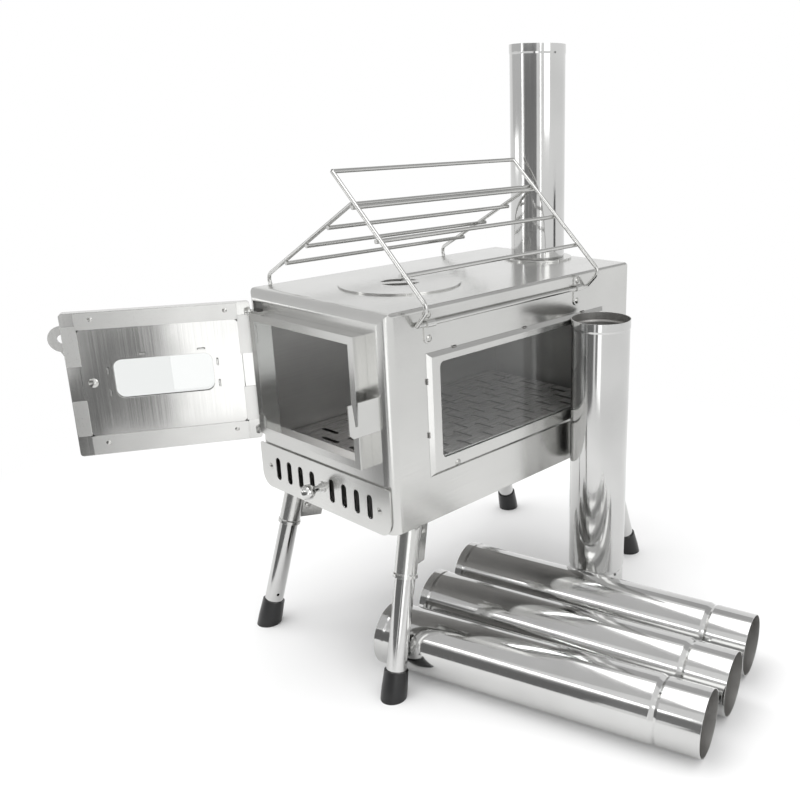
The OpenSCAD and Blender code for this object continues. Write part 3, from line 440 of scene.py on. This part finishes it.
class STOVE_OT_door(bpy.types.Operator):
    """Finish the door, its liner and the latch lever"""

    bl_idname = "stove.door"
    bl_label = "Door"

    def execute(self, context):
        f = context.scene.stove_finish
        dress(satin("satin_door_sheet", "Z"), "door_pan", "latch_lever", "glass_retainer")
        liner = metal_sheet("brushed_door_liner", f.satin, rough=0.15, along="Z",
                            grain=0.9 * MM, depth=0.004 * MM, wave=0.1 * MM,
                            wave_size=30 * MM, streak=150 * MM)
        dress(liner, "door_liner")
        edges = metal_sheet("satin_door_edges", f.satin, rough=0.34, along="X",
                            grain=0.6 * MM, depth=0.006 * MM, shade=(1.0, 1.15))
        self.flange_strips(edges)
        self.show_liner_colour(liner)
        return {"FINISHED"}

    def show_liner_colour(self, liner):
        """Finish the pan's inner rim like the liner, where the folded edges leave it open."""
        pan = NODES["door_pan"]
        pan.data.materials.append(liner)
        inward, plane = door_face()[:2]
        turn = pan.matrix_world.to_3x3()
        for face in pan.data.polygons:
            if (turn @ face.normal).dot(inward) > LOOKS_ALONG:
                if abs((pan.matrix_world @ face.center).dot(inward) - plane) < IN_PLANE:
                    face.material_index = 1

    def flange_strips(self, edge_finish):
        """Folded edges on the inside of the door, cut back at the corners and halfway up."""
        inward, plane, left, right, low, high = door_face()
        sideways = inward.cross(Vector((0, 0, 1)))
        liner = NODES["door_liner"]
        sheet = [liner.matrix_world @ v.co for v in liner.data.vertices]
        liner_sides = [p.dot(sideways) for p in sheet]
        liner_heights = [p.z for p in sheet]
        tall = high - low
        bottom = min(liner_heights) + FOLD_LAP
        top = max(liner_heights) - FOLD_LAP
        start, end = left + FOLD_CORNER, right - FOLD_CORNER
        spans = [(start, end, top, high - FOLD_RIM), (start, end, low + FOLD_RIM, bottom)]
        for a, b in ((left + FOLD_RIM, min(liner_sides) + FOLD_LAP),
                     (max(liner_sides) - FOLD_LAP, right - FOLD_RIM)):
            upper, lower = high - FOLD_CORNER, bottom + FOLD_STEP
            spans.append((a, b, upper - FOLD_UPPER * tall, upper))
            spans.append((a, b, lower, lower + FOLD_LOWER * tall))
        box_faces = ((0, 1, 5, 4), (1, 2, 6, 5), (2, 3, 7, 6), (3, 0, 4, 7), (0, 3, 2, 1),
                     (4, 5, 6, 7))
        vertices, faces = [], []
        for a, b, c, d in spans:
            first = len(vertices)
            for out in (plane - FOLD_SUNK, plane + FOLD_PROUD):
                for across, up in ((a, c), (b, c), (b, d), (a, d)):
                    vertices.append(sideways * across + Vector((0, 0, up)) + inward * out)
            faces += [[first + i for i in face] for face in box_faces]
        mesh = bpy.data.meshes.new("door_flange_strips")
        mesh.from_pydata(vertices, [], faces)
        mesh.materials.append(edge_finish)
        strips = bpy.data.objects.new("door_flange_strips", mesh)
        bpy.context.scene.collection.objects.link(strips)
        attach(strips, body_of(NODES["door_pan"])[0])


class STOVE_OT_drawer(bpy.types.Operator):
    """Finish the ash drawer and its knob"""

    bl_idname = "stove.drawer"
    bl_label = "Ash drawer"

    def execute(self, context):
        f = context.scene.stove_finish
        dress(satin("satin_drawer_front", "X"), "drawer_front")
        dress(metal_sheet("mill_finish_tray", f.inner, rough=0.38, along="Y", grain=0.8 * MM,
                          depth=0.01 * MM), "ash_tray")
        dress(metal_sheet("polished_knob", f.polished, rough=0.06, along="Z", grain=2 * MM,
                          depth=0.001 * MM), "drawer_knob")
        return {"FINISHED"}


class STOVE_OT_racks(bpy.types.Operator):
    """Finish the two wire racks"""

    bl_idname = "stove.racks"
    bl_label = "Racks"

    def execute(self, context):
        f = context.scene.stove_finish
        wire = metal_sheet("drawn_stainless_wire", f.wire, rough=0.12, along="Y",
                           grain=0.6 * MM, depth=0.003 * MM)
        dress(wire, "right_rack", "left_rack")
        return {"FINISHED"}


class STOVE_OT_legs(bpy.types.Operator):
    """Finish the legs, their sockets and foot caps"""

    bl_idname = "stove.legs"
    bl_label = "Legs"

    def execute(self, context):
        f = context.scene.stove_finish
        tube = metal_sheet("polished_leg_tube", f.polished, rough=0.1, along="Z",
                           grain=1.2 * MM, depth=0.002 * MM)
        socket = metal_sheet("satin_leg_socket", f.satin, rough=0.2, along="Z",
                             grain=0.6 * MM, depth=0.004 * MM)
        rubber = moulded_rubber()
        for leg in LEGS:
            dress(tube, "leg_tube_" + leg)
            dress(socket, "leg_socket_" + leg)
            dress(rubber, "foot_cap_" + leg)
        return {"FINISHED"}


class STOVE_OT_pipes(bpy.types.Operator):
    """Finish the chimney and the spare pipe sections"""

    bl_idname = "stove.pipes"
    bl_label = "Pipes"

    def execute(self, context):
        f = context.scene.stove_finish
        finish = dict(rough=f.polished_rough, grain=2 * MM, depth=0.002 * MM, wave=0.12 * MM,
                      wave_size=60 * MM, streak=200 * MM)
        upright = metal_sheet("polished_pipe_upright", f.polished, along="Z", **finish)
        dress(upright, "chimney_pipe", "spare_pipe_standing")
        lying = metal_sheet("polished_pipe_lying", f.polished, along="X", turn=PIPE_TURN,
                            **finish)
        dress(lying, "spare_pipe_1", "spare_pipe_2", "spare_pipe_3")
        # Inside of the pipes: 1.2 to 1.8 times the inner sheet colour in random blotches; the lift
        # above the sheet colour is painted light against the shade inside the tubes
        inside = metal_sheet("mill_finish_pipe_inside", f.inner, rough=0.42, along="Z",
                             grain=0.9 * MM, depth=0.03 * MM, shade=(1.2, 1.8))
        for name in PIPES:
            line_inside(NODES[name].data, inside)
        return {"FINISHED"}


def stage_plane(name, width, depth, matrix, material):
    """Flat rectangle that belongs to the studio and not to the stove."""
    mesh = bpy.data.meshes.new(name)
    corners = [(-width / 2, -depth / 2, 0), (width / 2, -depth / 2, 0),
               (width / 2, depth / 2, 0), (-width / 2, depth / 2, 0)]
    mesh.from_pydata(corners, [], [(0, 1, 2, 3)])
    mesh.materials.append(material)
    plane = bpy.data.objects.new(name, mesh)
    plane.matrix_world = matrix
    bpy.context.scene.collection.objects.link(plane)
    return plane


def facing(place, target):
    """Matrix of a card or lamp at a place, turned to face a target."""
    aim = (Vector(target) - Vector(place)).to_track_quat("-Z", "Y").to_matrix().to_4x4()
    return Matrix.Translation(place) @ aim


def softbox(name, place, target, size, power):
    """Rectangular lamp that faces a target."""
    lamp = bpy.data.lights.new(name, "AREA")
    lamp.shape = "RECTANGLE"
    lamp.size, lamp.size_y = size
    lamp.energy = power
    box = bpy.data.objects.new(name, lamp)
    box.matrix_world = facing(place, target)
    bpy.context.scene.collection.objects.link(box)


def card(name, place, target, size, shade):
    """Card beside the set: only metal and glass see it, as a dark or a bright band."""
    material = new_material("card_" + name)
    tree = material.node_tree
    paint = add(tree, "ShaderNodeEmission", {"Color": (shade, shade, shade, 1)})
    add(tree, "ShaderNodeOutputMaterial", None, {"Surface": paint.outputs["Emission"]})
    plane = stage_plane(name, size[0], size[1], facing(place, target), material)
    plane.visible_camera = False
    plane.visible_diffuse = False
    plane.visible_shadow = False


def around(middle, turn, reach, height):
    """Place at a distance from the stove, turned in degrees from straight in front of it."""
    angle = math.radians(turn)
    return Vector((middle.x + reach * math.sin(angle), middle.y - reach * math.cos(angle), height))


def strip_lamp(name, middle, turn, size, power):
    """Tall narrow softbox: a bright line down each polished pipe."""
    softbox(name, around(middle, turn, STRIP_REACH, STRIP_HEIGHT),
            (middle.x, middle.y, STRIP_HEIGHT), size, power)


def white_room(strength):
    """World that lights softly and shows plain white to the camera, to metal and to glass."""
    world = bpy.data.worlds.new("white_room")
    bpy.context.scene.world = world
    world.use_nodes = True
    tree = world.node_tree
    tree.nodes.clear()
    path = add(tree, "ShaderNodeLightPath")
    first = add(tree, "ShaderNodeMath", None,
                {0: path.outputs["Is Camera Ray"], 1: path.outputs["Is Glossy Ray"]},
                operation="MAXIMUM")
    seen = add(tree, "ShaderNodeMath", None,
               {0: first.outputs[0], 1: path.outputs["Is Transmission Ray"]},
               operation="MAXIMUM")
    light = add(tree, "ShaderNodeBackground", {"Color": (1, 1, 1, 1), "Strength": strength})
    white = add(tree, "ShaderNodeBackground", {"Color": (1, 1, 1, 1), "Strength": 1.0})
    both = add(tree, "ShaderNodeMixShader", None,
               {0: seen.outputs[0], 1: light.outputs[0], 2: white.outputs[0]})
    add(tree, "ShaderNodeOutputWorld", None, {"Surface": both.outputs[0]})


def floor_paint(colour, near, clear):
    """Pale floor that keeps the shadow near the stove and runs out into plain white."""
    material = new_material("pale_floor")
    tree = material.node_tree
    place = add(tree, "ShaderNodeTexCoord")
    reach = add(tree, "ShaderNodeVectorMath", None, {0: place.outputs["Object"]},
                operation="LENGTH")
    fade = add(tree, "ShaderNodeMapRange",
               {"From Min": near, "From Max": clear, "To Min": 0.0, "To Max": 1.0},
               {"Value": reach.outputs["Value"]}, interpolation_type="SMOOTHSTEP")
    paint = add(tree, "ShaderNodeBsdfDiffuse", {"Color": rgba(colour)})
    white = add(tree, "ShaderNodeEmission", {"Color": (1, 1, 1, 1), "Strength": 1.0})
    both = add(tree, "ShaderNodeMixShader", None,
               {0: fade.outputs["Result"], 1: paint.outputs[0], 2: white.outputs[0]})
    add(tree, "ShaderNodeOutputMaterial", None, {"Surface": both.outputs[0]})
    return material


def place_camera(context):
    """Camera from the stage settings, upright apart from its roll."""
    s = context.scene.stove_stage
    lens = bpy.data.cameras.new("camera")
    lens.sensor_width = 36
    lens.lens = s.lens
    lens.shift_x = s.shift_x
    camera = bpy.data.objects.new("camera", lens)
    context.scene.collection.objects.link(camera)
    context.scene.camera = camera
    back = Vector((math.sin(s.azimuth) * math.cos(s.elevation),
                   -math.cos(s.azimuth) * math.cos(s.elevation), math.sin(s.elevation)))
    right = (-back).cross(Vector((0, 0, 1))).normalized()
    down = (-back).cross(right).normalized()
    across = math.cos(s.roll) * right + math.sin(s.roll) * down
    lower = -math.sin(s.roll) * right + math.cos(s.roll) * down
    turned = Matrix((across, -lower, back)).transposed().to_4x4()
    middle = (SHELL_LOW + SHELL_HIGH) / 2
    eye = Vector((middle.x + EYE_RIGHT, middle.y - EYE_FRONT, EYE_HEIGHT))
    camera.matrix_world = Matrix.Translation(eye) @ turned


class STOVE_OT_stage(bpy.types.Operator):
    """Set the camera, the floor, the lamps and the room"""

    bl_idname = "stove.stage"
    bl_label = "Stage"

    def execute(self, context):
        s = context.scene.stove_stage
        place_camera(context)
        white_room(s.fill)
        middle = (SHELL_LOW + SHELL_HIGH) / 2
        ground = Vector((middle.x, middle.y, 0))
        stage_plane("floor", FLOOR_SIDE, FLOOR_SIDE, Matrix.Translation(ground),
                    floor_paint(s.floor, FLOOR_FADE, FLOOR_CLEAR))
        self.place_lamps(s, middle, ground)
        self.place_cards(middle, ground)
        context.scene.view_settings.view_transform = "Standard"
        return {"FINISHED"}

    def place_lamps(self, s, middle, ground):
        """Large softboxes, strips for the pipes and a small lamp inside the firebox."""
        for name, place, size, power in SOFTBOXES:
            softbox(name, ground + Vector(place), ground + Vector(AIM_CENTRE), size,
                    getattr(s, power))
        for name, turn, size, power in STRIPS:
            strip_lamp(name, middle, turn, size, power)
        softbox("strip_front", ground + Vector(FRONT_STRIP_PLACE),
                ground + Vector(FRONT_STRIP_AIM), FRONT_STRIP_SIZE, FRONT_STRIP_POWER)
        roof = Vector((middle.x, middle.y + INSIDE_BACK, SHELL_HIGH.z - INSIDE_UNDER))
        softbox("lamp_inside", roof, (roof.x, roof.y, 0), INSIDE_SIZE, INSIDE_POWER)

    def place_cards(self, middle, ground):
        """Cards that give metal and glass their dark and bright bands."""
        for number, turn in enumerate(FRONT_TURNS):
            card("front_%d" % number, around(middle, turn, FRONT_REACH, FRONT_HEIGHT),
                 (middle.x, middle.y, FRONT_AIM), FRONT_SIZE, FRONT_SHADE)
        for name, aim, place, size, shade in CARDS:
            target = ground + Vector(aim)
            card(name, target + Vector(place), target, size, shade)


OPERATORS = (STOVE_OT_firebox, STOVE_OT_door, STOVE_OT_drawer, STOVE_OT_racks, STOVE_OT_legs,
             STOVE_OT_pipes, STOVE_OT_stage)


class STOVE_PT_panel(bpy.types.Panel):
    """Steps of the stove, in order"""

    bl_idname = "STOVE_PT_panel"
    bl_label = "Camping wood stove"
    bl_space_type = "VIEW_3D"
    bl_region_type = "UI"
    bl_category = "Stove"

    def draw(self, context):
        for group in (context.scene.stove_finish, context.scene.stove_stage):
            for name in group.__annotations__:
                self.layout.prop(group, name)
        for operator in OPERATORS:
            self.layout.operator(operator.bl_idname)


CLASSES = (StoveFinish, StoveStage) + OPERATORS + (STOVE_PT_panel,)


def register():
    for cls in CLASSES:
        bpy.utils.register_class(cls)
    bpy.types.Scene.stove_finish = PointerProperty(type=StoveFinish)
    bpy.types.Scene.stove_stage = PointerProperty(type=StoveStage)


def unregister():
    del bpy.types.Scene.stove_stage
    del bpy.types.Scene.stove_finish
    for cls in reversed(CLASSES):
        bpy.utils.unregister_class(cls)


def main():
    register()
    bpy.ops.stove.firebox()
    bpy.ops.stove.door()
    bpy.ops.stove.drawer()
    bpy.ops.stove.racks()
    bpy.ops.stove.legs()
    bpy.ops.stove.pipes()
    bpy.ops.stove.stage()


if __name__ == "__main__":
    main()
